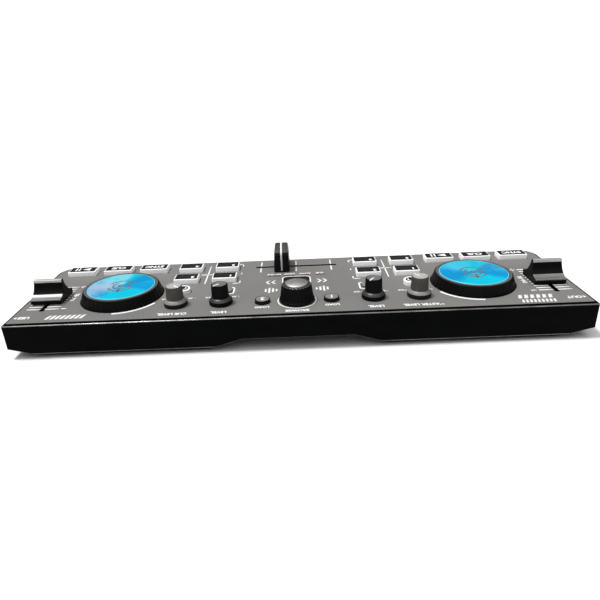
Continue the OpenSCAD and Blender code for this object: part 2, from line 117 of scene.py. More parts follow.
SIDES = ("left", "right")
PADS = [f"pad_{side}_{i}" for side in SIDES for i in (1, 2, 3, 4)]
KEYS = [f"{word}_key_{side}" for side in SIDES for word in ("sync", "cue", "play")]
MODE_BUTTONS = [f"mode_button_{side}" for side in SIDES]
KNOB_TURN_DEG = {"level_knob_left": 36, "level_knob_right": 44, "master_knob": 142, "headphone_knob": -45}
NODE_BODY = {n: b for b, ns in frame["record"]["behaviour"]["bodies"].items() for n in ns}


def box_mm(node):
    """Lowest and highest corner of a CAD node, in millimetres."""
    low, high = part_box(node)
    return Vector(low) / MM, Vector(high) / MM


def middle(node):
    """Centre of a CAD node's box seen from above, in millimetres."""
    low, high = box_mm(node)
    return (low.x + high.x) / 2, (low.y + high.y) / 2


def cap_size(node):
    """Half width, half depth and height above the panel of a CAD node, in millimetres."""
    low, high = box_mm(node)
    return (high.x - low.x) / 2, (high.y - low.y) / 2, high.z - PANEL_Z


PANEL_Z = box_mm("top_panel")[1].z
FOOT_H = box_mm("bottom_case")[0].z
CASE_HALF_W, CASE_HALF_D, RIM_TOP = box_mm("bottom_case")[1]
PITCH_CENTRE_Y = middle("jog_rim_left")[1]

# ---- materials


class Nodes:
    """A node tree, with short calls for the nodes used below."""

    def __init__(self, owner):
        owner.use_nodes = True
        self.tree = owner.node_tree

    def put(self, socket, value):
        """Sets an input to a number, a colour or another node's output."""
        if isinstance(value, bpy.types.NodeSocket):
            self.tree.links.new(value, socket)
        else:
            socket.default_value = value

    def add(self, kind, inputs=None, **settings):
        node = self.tree.nodes.new("ShaderNode" + kind)
        for key, value in settings.items():
            setattr(node, key, value)
        for key, value in (inputs or {}).items():
            self.put(node.inputs[key], value)
        return node

    def math(self, operation, a, b=0.0):
        return self.add("Math", {0: a, 1: b}, operation=operation).outputs[0]

    def split(self, vector):
        """X, Y and Z of a vector."""
        return self.add("SeparateXYZ", {0: vector}).outputs


class Surface(Nodes):
    """A new material."""

    INPUTS = {"colour": "Base Color", "roughness": "Roughness", "metallic": "Metallic",
              "specular": "Specular IOR Level", "coat": "Coat Weight",
              "coat_roughness": "Coat Roughness", "anisotropic": "Anisotropic", "tangent": "Tangent"}

    def __init__(self, name):
        self.material = bpy.data.materials.new(name)
        super().__init__(self.material)
        self.shader = self.tree.nodes["Principled BSDF"]
        self.coords = self.add("TexCoord").outputs["Object"]

    def set(self, **values):
        for key, value in values.items():
            self.put(self.shader.inputs[self.INPUTS[key]], value)

    def noise(self, size_mm, detail, stretch=(1, 1, 1)):
        """Noise whose blotches are about size_mm across."""
        place = self.scaled_coords([s / (size_mm * MM) for s in stretch])
        noise = self.add("TexNoise", {"Vector": place, "Scale": 1.0, "Detail": detail})
        return noise.outputs["Fac"]

    def scaled_coords(self, scale):
        return self.add("Mapping", {"Vector": self.coords, "Scale": scale}).outputs["Vector"]

    def blend(self, first, second, share):
        """Two patterns in one, with "share" of the first."""
        rest = self.math("MULTIPLY", second, 1 - share)
        return self.math("ADD", self.math("MULTIPLY", first, share), rest)

    def spread(self, value, low, high, from_low=0.3, from_high=0.7):
        """Maps a pattern's range onto low..high."""
        node = self.add("MapRange", {"Value": value, "From Min": from_low, "From Max": from_high,
                                     "To Min": low, "To Max": high})
        return node.outputs["Result"]

    def mix(self, factor, first, second):
        first, second = [c if isinstance(c, bpy.types.NodeSocket) else (*c, 1.0) for c in (first, second)]
        node = self.add("Mix", {"Factor": factor, "A": first, "B": second}, data_type="RGBA")
        return node.outputs["Result"]

    def cloudy(self, pattern, dark, light):
        """Colour that wanders between two tones with a noise pattern."""
        return self.mix(self.spread(pattern, 0, 1), dark, light)

    def finish(self, height, depth_mm):
        """Adds a relief, and returns the finished material."""
        node = self.add("Bump", {"Height": height, "Distance": depth_mm * MM})
        self.put(self.shader.inputs["Normal"], node.outputs["Normal"])
        return self.material

    def axes(self):
        """X and Y of the piece's own coordinates."""
        return self.split(self.coords)[:2]

    def tool_rings(self, x, y, spacing_mm):
        """Wave of fine circles round Z, as a lathe leaves."""
        squares = self.math("ADD", self.math("MULTIPLY", x, x), self.math("MULTIPLY", y, y))
        waves = self.math("MULTIPLY", self.math("SQRT", squares), 2 * pi / (spacing_mm * MM))
        return self.math("SINE", waves)


def scaled(colour, factor):
    return tuple(min(c * factor, 1.0) for c in colour)


def grained(name, colour, roughness, grain_mm, depth_mm, variation=0.12, blotch_mm=14, **extra):
    """Moulded or painted surface: blotchy colour, uneven gloss and a fine grain."""
    n = Surface(name)
    blotch = n.noise(blotch_mm, 4)
    grain = n.noise(grain_mm, 2)
    dark, light = scaled(colour, 1 - variation), scaled(colour, 1 + variation)
    n.set(colour=n.cloudy(n.blend(blotch, grain, 0.6), dark, light),
          roughness=n.spread(blotch, roughness - 0.06, roughness + 0.06), **extra)
    return n.finish(grain, depth_mm)


def soft_touch(name, colour, roughness=0.55, specular=0.25):
    """Rubber or soft paint with a very fine grain."""
    return grained(name, colour, roughness, 0.22, 0.01, 0.16, 3.0, specular=specular)


def case_plastic():
    """Near-black moulded ABS with a fine spark-eroded texture and faint handling marks."""
    n = Surface("case_plastic")
    smears = n.noise(22, 4, (1, 1, 2.5))
    n.set(colour=n.cloudy(smears, (0.0016, 0.0018, 0.0019), (0.003, 0.0032, 0.0032)),
          roughness=n.spread(smears, 0.34, 0.46), specular=0.015)
    return n.finish(n.noise(0.35, 3), 0.012)


def painted_edge_highlight():
    """Painted highlight on the case's moulded edges: a pale, half-metallic strip that shows as a bright
    line.
    """
    n = Surface("painted_edge_highlight")
    sheen_patches = n.noise(9, 4)
    n.set(colour=n.cloudy(sheen_patches, (0.12, 0.12, 0.12), (0.3, 0.3, 0.3)), metallic=0.75,
          roughness=n.spread(sheen_patches, 0.34, 0.22), specular=0.5)
    return n.finish(n.noise(0.35, 3), 0.004)


def panel_paint():
    """Mid-grey satin paint over a fine pebble grain."""
    n = Surface("panel_paint")
    speckle, cloud = n.noise(0.9, 3), n.noise(30, 3)
    n.set(colour=n.cloudy(n.blend(speckle, cloud, 0.55), (0.131, 0.128, 0.122), (0.162, 0.158, 0.151)),
          roughness=n.spread(cloud, 0.46, 0.58), specular=0.35)
    return n.finish(n.noise(0.4, 2), 0.02)


def print_ink(name, colour):
    """Screen-printed ink, a little patchy."""
    n = Surface(name)
    patchy = n.noise(0.5, 3)
    n.set(colour=n.cloudy(patchy, scaled(colour, 0.9), colour), roughness=0.5, specular=0.3)
    return n.finish(patchy, 0.004)


def jog_metal(name, fan_turn, sheen_turn, sheen_share):
    """Blue anodised disc turned with fine rings, its colour painted in a fan of sectors as painted sheen of
    the turned metal.
    """
    azure, turquoise = (0.0, 0.27, 0.55), (0.0, 0.5, 0.68)
    frosty, pale = (0.3, 0.68, 0.76), (0.36, 0.46, 0.58)
    n = Surface(name)
    x, y = n.axes()
    angle = n.math("ARCTAN2", y, x)
    soft = n.math("MULTIPLY", n.math("SUBTRACT", n.noise(7, 3), 0.5), 0.9)

    def sector(count, turn, low, high):
        """1 inside "count" sectors round the disc, fading to 0 between the two cosines low and high."""
        turned = n.math("SUBTRACT", angle, radians(turn))
        wave = n.math("COSINE", n.math("MULTIPLY", turned, count))
        return n.spread(n.math("ADD", wave, soft), 0, 1, low, high)

    def lay(under, colour, shape, share):
        return n.mix(n.math("MULTIPLY", shape, share), under, colour)

    # painted sheen: azure, turquoise, frosty and pale sectors stand in for the light lying on the turned
    # metal
    base = n.mix(sector(2.0, fan_turn, -0.3, 0.3), azure, turquoise)
    base = lay(base, turquoise, sector(5.0, fan_turn + 20, 0.75, 1.0), 0.3)
    base = lay(base, frosty, sector(1.0, sheen_turn - 80, 0.75, 1.0), 0.8 * sheen_share)
    base = lay(base, pale, sector(1.0, sheen_turn, 0.6, 1.0), sheen_share)
    tangent = n.add("Tangent", direction_type="RADIAL", axis="Z")
    n.set(colour=base, metallic=0.3, roughness=n.spread(n.noise(5, 3), 0.28, 0.38), specular=0.05,
          anisotropic=0.7, tangent=tangent.outputs[0], coat=0.04, coat_roughness=0.15)
    return n.finish(n.tool_rings(x, y, 0.45), 0.006)


def milky_plastic():
    """Milky light-guide plastic of the keys and pads."""
    n = Surface("milky_plastic")
    cloud = n.noise(6, 3)
    n.set(colour=n.cloudy(cloud, (0.84, 0.84, 0.845), (0.92, 0.92, 0.92)),
          roughness=n.spread(cloud, 0.28, 0.4), specular=0.4)
    return n.finish(n.noise(0.5, 2), 0.004)


def key_inlay():
    """Charcoal window on top of a key, a little paler along its middle."""
    n = Surface("key_inlay")
    half_window = 3.4
    off_middle = n.math("ABSOLUTE", n.math("MULTIPLY", n.axes()[1], 1 / (half_window * MM)))
    colour = n.mix(n.spread(off_middle, 0, 1, 0.15, 0.8), (0.013, 0.013, 0.0135), (0.005, 0.005, 0.0055))
    n.set(colour=colour, roughness=n.spread(n.noise(3, 3), 0.36, 0.5), specular=0.14)
    return n.finish(n.noise(0.3, 2), 0.004)


def painted_reflection_silver(name, dark, light):
    """Painted reflection for the pitch caps: dull silver, brushed from side to side, on the near-flat bands
    that glossy black plastic shows bright.
    """
    n = Surface(name)
    brushed = n.noise(0.35, 3, (0.04, 1, 1))
    n.set(colour=n.cloudy(brushed, dark, light), metallic=0.8,
          roughness=n.spread(brushed, 0.38, 0.52), specular=0.2)
    return n.finish(brushed, 0.004)


def spun_metal(name, colour, roughness):
    """Turned metal with fine circular tool marks."""
    n = Surface(name)
    x, y = n.axes()
    cloud = n.noise(4, 3)
    n.set(colour=n.cloudy(cloud, scaled(colour, 0.86), colour), metallic=0.9,
          roughness=n.spread(cloud, roughness - 0.06, roughness + 0.08))
    return n.finish(n.tool_rings(x, y, 0.3), 0.002)


def board_mask():
    """Green solder mask with the pale tracks of a circuit board."""
    n = Surface("board_mask")
    tracks_per_metre = 160
    brick = n.add("TexBrick", {
        "Vector": n.scaled_coords([tracks_per_metre] * 3), "Color1": (0.01, 0.1, 0.04, 1),
        "Color2": (0.012, 0.13, 0.05, 1), "Mortar": (0.04, 0.25, 0.1, 1), "Mortar Size": 0.03})
    n.set(colour=brick.outputs["Color"], roughness=0.3)
    return n.finish(brick.outputs["Fac"], 0.02)


CASE = case_plastic()
PLATE_CORE = soft_touch("plate_core", (0.004, 0.004, 0.004), 0.5, 0.05)
# painted highlight for the case's rounded top rim and lower chamfers
CASE_EDGE_HIGHLIGHT = painted_edge_highlight()
PANEL = panel_paint()
WHITE_INK = print_ink("white_ink", (0.8, 0.8, 0.79))
BLACK_INK = print_ink("black_ink", (0.004, 0.004, 0.004))
RED_INK = print_ink("red_ink", (0.1, 0.006, 0.012))
GREY_INK = print_ink("grey_ink", (0.11, 0.11, 0.12))
CYAN_INK = print_ink("cyan_ink", (0.1, 0.48, 0.6))
JOG_RUBBER = soft_touch("jog_rubber", (0.004, 0.004, 0.0042), 0.42, 0.08)
JOG_SHOULDER = soft_touch("jog_shoulder", (0.085, 0.08, 0.082), 0.38, 0.4)
# each disc has its own painted sheen placement and strength
JOG_METAL = {"left": jog_metal("jog_metal_left", 95, -65, 0.12),
             "right": jog_metal("jog_metal_right", 108, 8, 0.75)}
MILKY = milky_plastic()
INLAY = key_inlay()
BLACK_RUBBER = soft_touch("black_rubber", (0.0035, 0.0035, 0.0035), 0.42, 0.06)
SKIRT_BLACK = soft_touch("skirt_black", (0.03, 0.028, 0.029), 0.36, 0.4)
# painted shade for the lower band of the grey knobs' skirts
SKIRT_SHADE_GREY = soft_touch("skirt_painted_shade_grey", (0.014, 0.013, 0.012), 0.45, 0.06)
CROWN_BLACK = soft_touch("crown_black", (0.03, 0.029, 0.029), 0.24, 0.6)
GREY_RUBBER = soft_touch("grey_rubber", (0.062, 0.056, 0.052))
SKIRT_GREY = soft_touch("skirt_grey", (0.2, 0.193, 0.18), 0.45, 0.4)
TOP_GREY = soft_touch("top_grey", (0.34, 0.33, 0.31), 0.42, 0.4)
TOP_BLACK = soft_touch("top_black", (0.12, 0.12, 0.118), 0.28, 0.5)
SILVER = spun_metal("spun_silver", (0.42, 0.41, 0.39), 0.42)
# painted reflection on the pitch caps; the crest, facing up, gets the lighter copy
FADER_CREST_REFLECTION = painted_reflection_silver("crest_painted_reflection", (0.34, 0.33, 0.32), (0.56, 0.55, 0.53))
FADER_LIP_REFLECTION = painted_reflection_silver("lip_painted_reflection", (0.16, 0.156, 0.15), (0.28, 0.273, 0.262))
FADER_BLACK = soft_touch("fader_black", (0.0025, 0.0025, 0.0025), 0.34, 0.07)
CROSS_BLACK = soft_touch("cross_black", (0.005, 0.005, 0.005), 0.38, 0.12)
CROSS_TOP = soft_touch("cross_top", (0.036, 0.034, 0.032), 0.35, 0.25)
LOAD_GREY = soft_touch("load_grey", (0.17, 0.166, 0.158), 0.45)
STEEL = spun_metal("steel", (0.55, 0.55, 0.56), 0.3)
PLATE = grained("pressed_plate", (0.38, 0.38, 0.39), 0.4, 0.5, 0.006, 0.12, 9, metallic=0.85)
FOOT = soft_touch("foot_rubber", (0.02, 0.02, 0.02), 0.7)
SOCKET = grained("socket_black", (0.015, 0.015, 0.016), 0.4, 0.3, 0.006, 0.2, 4)
BOARD = board_mask()
LAMP = grained("lamp_lens", (0.75, 0.73, 0.6), 0.3, 0.3, 0.004, 0.08, 1.5)
NYLON = grained("nylon", (0.5, 0.49, 0.45), 0.5, 0.3, 0.006, 0.1, 2)

# ---- mesh helpers


def finish_mesh(bm, name, materials, at=(0, 0, 0), sharp=None):
    """Turns a bmesh in millimetres into an object whose origin is at "at"."""
    bmesh.ops.recalc_face_normals(bm, faces=bm.faces)
    bmesh.ops.scale(bm, vec=(MM, MM, MM), verts=bm.verts)
    mesh = bpy.data.meshes.new(name)
    bm.to_mesh(mesh)
    bm.free()
    for material in materials:
        mesh.materials.append(material)
    mesh.shade_smooth()
    if sharp is not None:
        mesh.set_sharp_from_angle(angle=radians(sharp))
    obj = bpy.data.objects.new(name, mesh)
    obj.location = Vector(at) * MM
    bpy.context.scene.collection.objects.link(obj)
    return obj


def go_with(obj, node):
    """The piece takes a CAD node's body and finish."""
    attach(obj, NODE_BODY[node])


def stand_for(obj, node):
    """The piece takes a CAD node's place too."""
    go_with(obj, node)
    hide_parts(node)


def finish_cap(bm, node, name, materials, sharp=None):
    """Finishes a cap drawn round its CAD node's middle, with height 0 at the panel's top."""
    cap = finish_mesh(bm, name, materials, (*middle(node), PANEL_Z), sharp)
    stand_for(cap, node)
    return cap


def round_edges(obj, width_mm, segments=2, angle=32, material=-1):
    """Bevels edges sharper than "angle"; material -1 keeps that of the faces beside them."""
    modifier = obj.modifiers.new("round_edges", "BEVEL")
    modifier.material = material
    modifier.width = width_mm * MM
    modifier.segments = segments
    modifier.limit_method = "ANGLE"
    modifier.angle_limit = radians(angle)
    modifier.harden_normals = True
    modifier.miter_outer = "MITER_ARC"


def arc(centre, radius, start, end, steps):
    """Points along an arc, angles in degrees."""
    turns = [radians(start + (end - start) * i / steps) for i in range(steps + 1)]
    return [(centre[0] + radius * cos(a), centre[1] + radius * sin(a)) for a in turns]


def circle(at, radius, steps=32):
    return arc(at, radius, 0, 360, steps)[:-1]


def rounded(half_w, half_d, rear_r, front_r=None, steps=8, at=(0, 0)):
    """Outline of a rectangle with round corners, counter-clockwise."""
    front_r = rear_r if front_r is None else front_r
    x, y = at
    points = arc((x + half_w - front_r, y - half_d + front_r), front_r, -90, 0, steps)
    points += arc((x + half_w - rear_r, y + half_d - rear_r), rear_r, 0, 90, steps)
    points += arc((x - half_w + rear_r, y + half_d - rear_r), rear_r, 90, 180, steps)
    points += arc((x - half_w + front_r, y - half_d + front_r), front_r, 180, 270, steps)
    return points


def between(first, second, share):
    """Outline part of the way between two outlines."""
    return [(a[0] + (b[0] - a[0]) * share, a[1] + (b[1] - a[1]) * share) for a, b in zip(first, second)]


def mirrored(side):
    """Outline of a symmetrical shape, from the points of its right half."""
    return side + [(-x, z) for x, z in reversed(side)]


def upright(x, y, z):
    """Places a plan view at height z."""
    return (x, y, z)


def across_depth(x, z, y):
    """Places a front or rear view at depth y."""
    return (x, y, z)


def across_width(y, z, x):
    """Places a side view at x."""
    return (x, y, z)


def ring_at(bm, outline, level, to_point=upright):
    return [bm.verts.new(to_point(a, b, level)) for a, b in outline]


def skin(bm, rings, materials):
    """Closes a stack of rings with walls and two ends. One material a wall, and the last for the top."""
    count = len(rings[0])
    for index, (low, high) in enumerate(zip(rings, rings[1:])):
        for i in range(count):
            j = (i + 1) % count
            bm.faces.new((low[i], low[j], high[j], high[i])).material_index = materials[index]
    bm.faces.new(rings[0][::-1]).material_index = materials[0]
    bm.faces.new(rings[-1]).material_index = materials[-1]


def prism(bm, outline, low, high, material=0, to_point=upright):
    """Closed prism between two levels."""
    skin(bm, [ring_at(bm, outline, level, to_point) for level in (low, high)], [material] * 2)


def lathe(bm, profile, steps, ripple=None, materials=None, closed=False):
    """Turns (radius, height) points round Z. ripple(angle, point) scales the radius of a point."""
    rings = []
    for index, (radius, height) in enumerate(profile):
        if radius == 0:
            rings.append([bm.verts.new((0, 0, height))])
            continue
        ring = []
        for i in range(steps):
            a = 2 * pi * i / steps
            r = radius * (ripple(a, index) if ripple else 1)
            ring.append(bm.verts.new((r * cos(a), r * sin(a), height)))
        rings.append(ring)
    pairs = list(zip(rings, rings[1:])) + ([(rings[-1], rings[0])] if closed else [])
    for index, (low, high) in enumerate(pairs):
        for i in range(steps):
            j = (i + 1) % steps
            corners = [low[i % len(low)], low[j % len(low)], high[j % len(high)], high[i % len(high)]]
            face = bm.faces.new(list(dict.fromkeys(corners)))
            face.material_index = materials[index] if materials else 0


def fluted(count, depth, radius, first, shares):
    """Ripple for lathe: grooves on the points from "first" on, each with its share of the depth."""

    def ripple(angle, index):
        if not first <= index < first + len(shares):
            return 1
        groove = (0.5 + 0.5 * cos(angle * count)) ** 1.5
        return 1 - depth * shares[index - first] / radius * groove

    return ripple


def evaluated_mesh(obj):
    depsgraph = bpy.context.evaluated_depsgraph_get()
    return bpy.data.meshes.new_from_object(obj.evaluated_get(depsgraph))


def carve(obj, operation, cutter):
    """Applies a boolean with a throw-away object."""
    modifier = obj.modifiers.new("carve", "BOOLEAN")
    modifier.operation = operation
    modifier.solver = "EXACT"
    modifier.object = cutter
    mesh = evaluated_mesh(obj)
    obj.modifiers.clear()
    obj.data = mesh
    obj.data.shade_smooth()
    bpy.data.objects.remove(cutter)


def cutter_from(draw):
    """Throw-away object of the prisms that draw(bm) makes."""
    bm = bmesh.new()
    draw(bm)
    return finish_mesh(bm, "cutter", [])


def prism_cutter(outline, low, high, to_point=upright):
    return cutter_from(lambda bm: prism(bm, outline, low, high, 0, to_point))


# ---- flat print


def flat_band(bm, inner, outer, low, material, closed=True):
    """Thin closed strip between two matching outlines."""
    count = len(inner)
    top = low + PRINT_H
    corners = ((inner, low), (outer, low), (outer, top), (inner, top))
    quad = [ring_at(bm, points, z) for points, z in corners]
    for i in range(count if closed else count - 1):
        j = (i + 1) % count
        for a, b in ((0, 1), (1, 2), (2, 3), (3, 0)):
            bm.faces.new((quad[a][i], quad[a][j], quad[b][j], quad[b][i])).material_index = material
    if not closed:
        for end in (0, -1):
            bm.faces.new([row[end] for row in quad]).material_index = material


def ink(bm, outline, low, material=0):
    prism(bm, outline, low, low + PRINT_H, material)


def ring_print(bm, at, radius, width, low, material=0, start=0, end=360, steps=64):
    """Ring or arc, angles in degrees."""
    whole = end - start >= 360
    points = steps if whole else steps + 1
    radii = (radius - width / 2, radius + width / 2)
    inner, outer = [arc(at, r, start, end, steps)[:points] for r in radii]
    flat_band(bm, inner, outer, low, material, whole)


def frame_print(bm, at, half_w, half_d, radius, width, low):
    """Round-cornered frame; the sizes are of its outer edge."""
    inner = rounded(half_w - width, half_d - width, max(radius - width, 0.2), at=at)
    flat_band(bm, inner, rounded(half_w, half_d, radius, at=at), low, 0)


def bar_print(bm, at, size, low, material=0, lean=0.0):
    """Rectangle, or a slanted bar if lean isn't 0 (sideways shift of its rear edge)."""
    x, y = at
    w, d, shift = size[0] / 2, size[1] / 2, lean / 2
    front = [(x - w - shift, y - d), (x + w - shift, y - d)]
    rear = [(x + w + shift, y + d), (x - w + shift, y + d)]
    ink(bm, front + rear, low, material)


def chevron_print(bm, at, size, pointing, width, low):
    """One > shape, pointing +1 right or -1 left."""
    x, y = at
    h, v = size[0] / 2 * pointing, size[1] / 2
    shift = width * pointing
    corners = [(x - h, y - v), (x - h + shift, y - v), (x + h, y),
               (x - h + shift, y + v), (x - h, y + v), (x + h - shift, y)]
    ink(bm, corners[::pointing], low)


def word_print(bm, words, at, height, low, material=0, weight=LABEL_WEIGHT, turn=0):
    """Generic control labels, read from the player's side, or turned by "turn" degrees."""
    curve = bpy.data.curves.new("word", "FONT")
    curve.body = words
    curve.size = height * FONT_SIZE_PER_HEIGHT
    curve.align_x = "CENTER"
    curve.align_y = "CENTER"
    curve.offset = weight * height
    curve.extrude = PRINT_H / 2
    curve.resolution_u = 3
    holder = bpy.data.objects.new("word", curve)
    bpy.context.scene.collection.objects.link(holder)
    mesh = evaluated_mesh(holder)
    letters = bmesh.new()
    letters.from_mesh(mesh)
    bmesh.ops.remove_doubles(letters, verts=letters.verts, dist=1e-5)
    letters.transform(Matrix.Rotation(radians(turn), 4, "Z"))
    letters.transform(Matrix.Translation((*at, low + PRINT_H / 2)))
    for face in letters.faces:
        face.material_index = material
    letters.to_mesh(mesh)
    letters.free()
    bm.from_mesh(mesh)
    bpy.data.objects.remove(holder)
    bpy.data.curves.remove(curve)
    bpy.data.meshes.remove(mesh)


# ---- case and panel


def case_outline(inset, steps=8):
    rear_r, front_r = max(REAR_R - inset, 0.6), max(FRONT_R - inset, 0.6)
    return rounded(CASE_HALF_W - inset, CASE_HALF_D - inset, rear_r, front_r, steps)


def case_front_view(inset):
    """Case seen from the rear: sloping ends and the hollow under the middle."""
    half, low, top = CASE_HALF_W - inset, FOOT_H + inset, PANEL_Z + 1
    hollow = [(RECESS_HALF_W - RECESS_RUN + inset, low + RECESS_H), (RECESS_HALF_W + inset, low)]
    end = [(half - SLOPE_RUN, low), (half, FOOT_H + SLOPE_RISE + inset), (half, top)]
    return mirrored(hollow + end)


def case_side_view(inset):
    """Case seen from the side, with its lower long edges cut off."""
    half, low, top = CASE_HALF_D - inset, FOOT_H + inset, PANEL_Z + 1
    return mirrored([(half - LOWER_BEVEL, low), (half, low + LOWER_BEVEL), (half, top)])


def case_block(name, inset, top, round_r=0.0):
    """Case body; round_r rounds its top edge, and the rounding takes the second material, the painted edge
    highlight.
    """
    steps = 4 if round_r else 0
    levels = [(inset, FOOT_H - 1), (inset, top - round_r)]
    for i in range(1, steps + 1):
        turn = radians(90 * i / steps)
        levels.append((inset + round_r * (1 - cos(turn)), top - round_r + round_r * sin(turn)))
    bm = bmesh.new()
    skin(bm, [ring_at(bm, case_outline(d), z) for d, z in levels], [0] + [1] * steps + [0])
    block = finish_mesh(bm, name, [CASE, CASE_EDGE_HIGHLIGHT])
    depth, width = CASE_HALF_D + 2, CASE_HALF_W + 2
    carve(block, "INTERSECT", prism_cutter(case_front_view(inset), -depth, depth, across_depth))
    carve(block, "INTERSECT", prism_cutter(case_side_view(inset), -width, width, across_width))
    return block


def screw_wells(bm):
    low, high = box_mm("case_screws")
    rear = [(x, high.y - SCREW_HEAD_R) for x in (REAR_SCREW_X, high.x - SCREW_HEAD_R)]
    front = [(x, low.y + SCREW_HEAD_R) for x in FRONT_SCREW_X]
    for side in (-1, 1):
        for x, y in rear + front:
            prism(bm, circle((side * x, y), SCREW_WELL_R, 24), -1, FOOT_H + SCREW_WELL_DEPTH)


def foot_seats(bm):
    corner = box_mm("rubber_feet")[1]
    for across in (-1, 1):
        for along in (-1, 1):
            place = (across * (corner.x - FOOT_R), along * (corner.y - FOOT_R))
            prism(bm, circle(place, FOOT_SEAT_R), -1, FOOT_H + FOOT_SEAT_DEPTH)


def ports(bm):
    """USB opening in the right wall and the two audio bores in the left one."""
    low, high = box_mm("usb_socket")
    gap, corner_r, reach = 0.3, 0.7, 5
    port = rounded((high.y - low.y) / 2 + gap, (high.z - low.z) / 2 + gap, corner_r, steps=4,
                   at=((high.y + low.y) / 2, (high.z + low.z) / 2))
    prism(bm, port, CASE_HALF_W - reach, CASE_HALF_W + 2, 0, across_width)
    low, high = box_mm("audio_jacks")
    for y in (high.y - JACK_INSET, low.y + JACK_INSET):
        bore = circle((y, low.z + JACK_NOSE_R), JACK_BORE_R)
        prism(bm, bore, -CASE_HALF_W - 2, -CASE_HALF_W + JACK_BORE_DEPTH, 0, across_width)


def on_lower_outline(point):
    """True along the bottom edge of the outer walls, whose chamfer takes the painted edge highlight."""
    near = 0.02
    x, y = abs(point.x) - (CASE_HALF_W - FRONT_R), -point.y - (CASE_HALF_D - FRONT_R)
    in_corner = x > 0 and y > 0 and hypot(x, y) > FRONT_R - near
    on_long_side = abs(point.y) > CASE_HALF_D - near and point.z < FOOT_H + RECESS_H + near
    on_end = (abs(point.x) > CASE_HALF_W - near or in_corner) and point.z < FOOT_H + SLOPE_RISE + near
    return on_long_side or on_end


def weigh_edges(case):
    """Marks the edges that the case's chamfer modifier works on."""
    flattest = radians(24)
    bm = bmesh.new()
    bm.from_mesh(case.data)
    weight = bm.edges.layers.float.new("bevel_weight_edge")
    for edge in bm.edges:
        if len(edge.link_faces) == 2 and edge.calc_face_angle(0) > flattest:
            edge[weight] = float(all(on_lower_outline(v.co / MM) for v in edge.verts))
    bm.to_mesh(case.data)
    bm.free()


def build_case():
    case = case_block("case_shell", 0, RIM_TOP, RIM_ROUND)
    carve(case, "DIFFERENCE", case_block("inner", WALL, PANEL_Z + 1))
    carve(case, "DIFFERENCE", prism_cutter(case_outline(RIM_W), PANEL_Z - PANEL_T, PANEL_Z + 2))
    for draw in (screw_wells, foot_seats, ports):
        carve(case, "DIFFERENCE", cutter_from(draw))
    case.data.set_sharp_from_angle(angle=radians(30))
    weigh_edges(case)
    # the lower outer edges get a chamfer in the painted edge highlight material
    round_edges(case, EDGE_HIGHLIGHT_W, 1, material=1)
    case.modifiers["round_edges"].limit_method = "WEIGHT"
    case.modifiers["round_edges"].use_clamp_overlap = False
    stand_for(case, "bottom_case")


def panel_openings(bm):
    """Holes for the keys, buttons, wheels and knobs, and the three fader slots."""

    def through(outline):
        prism(bm, outline, PANEL_Z - PANEL_T - 1, PANEL_Z + 1)

    for node in PADS + KEYS + MODE_BUTTONS:
        half_w, half_d, _ = cap_size(node)
        radius = 2.0 if node in MODE_BUTTONS else 0.8
        through(rounded(half_w - COLLAR + CAP_GAP, half_d - COLLAR + CAP_GAP, radius,
                        steps=5, at=middle(node)))
    for side in SIDES:
        for node in (f"load_button_{side}", f"listen_button_{side}"):
            through(circle(middle(node), cap_size(node)[0] - COLLAR + CAP_GAP, 40))
        rim = f"jog_rim_{side}"
        through(circle(middle(rim), cap_size(rim)[0] + JOG_GAP, 96))
        slot_at = (middle(f"pitch_cap_{side}")[0], PITCH_CENTRE_Y)
        through(rounded(PITCH_SLOT[0] / 2, PITCH_SLOT[1] / 2, SLOT_R, steps=6, at=slot_at))
    for node in KNOB_TURN_DEG:
        through(circle(middle(node), KNOB_HOLE_R))
    through(circle(middle("browse_knob"), BROWSE_HOLE_R))
    slot_at = (0, middle("crossfader_cap")[1])
    through(rounded(CROSS_SLOT[0] / 2, CROSS_SLOT[1] / 2, SLOT_R, steps=6, at=slot_at))


def build_panel():
    bm = bmesh.new()
    prism(bm, case_outline(RIM_W + PANEL_GAP, 10), PANEL_Z - PANEL_T + 0.05, PANEL_Z)
    panel = finish_mesh(bm, "panel_plate", [PANEL])
    carve(panel, "DIFFERENCE", cutter_from(panel_openings))
    panel.data.materials.append(PLATE_CORE)
    for face in panel.data.polygons:
        face.material_index = 0 if face.normal.z > 0.9 else 1
    round_edges(panel, 0.12, material=0)
    stand_for(panel, "top_panel")


# ---- jog wheels


def build_jog_rim(side):
    """Black wheel with scalloped ribs; its top shoulder takes the second material."""
    node = f"jog_rim_{side}"
    radius = cap_size(node)[0]
    well_r = cap_size(f"jog_disc_{side}")[0] + 0.2
    seat_r, bore_r, hollow_r = well_r - 2.2, 3.1, radius - 2.6

    def scallop(angle, index):
        if index not in (1, 2, 3):
            return 1
        wave = abs(sin(angle * JOG_RIBS / 2))
        return 1 - JOG_RIB_DEPTH / radius * (1 - wave) ** 2

    wall = [(radius - 1.6, -1), (radius, -1), (radius, 0.8), (radius - 1.45, 5.0), (radius - 1.65, 5.5)]
    shoulder = [(radius - 1.95, 5.8), (radius - 2.35, 5.98), (well_r + 0.3, 6.1), (well_r + 0.1, 6.05)]
    well = [(well_r, 5.9), (well_r, 4.4), (seat_r, 4.35), (seat_r, 3.2)]
    underside = [(bore_r, 3.2), (bore_r, 1.9), (hollow_r, 1.9)]
    bm = bmesh.new()
    lathe(bm, wall + shoulder + well + underside, JOG_RIBS * 8, scallop,
          [0] * 6 + [1] * 3 + [0] * 7, closed=True)
    at = (*middle(node), box_mm(node)[0].z + 1)
    stand_for(finish_mesh(bm, f"jog_wheel_{side}", [JOG_RUBBER, JOG_SHOULDER], at, 38), node)


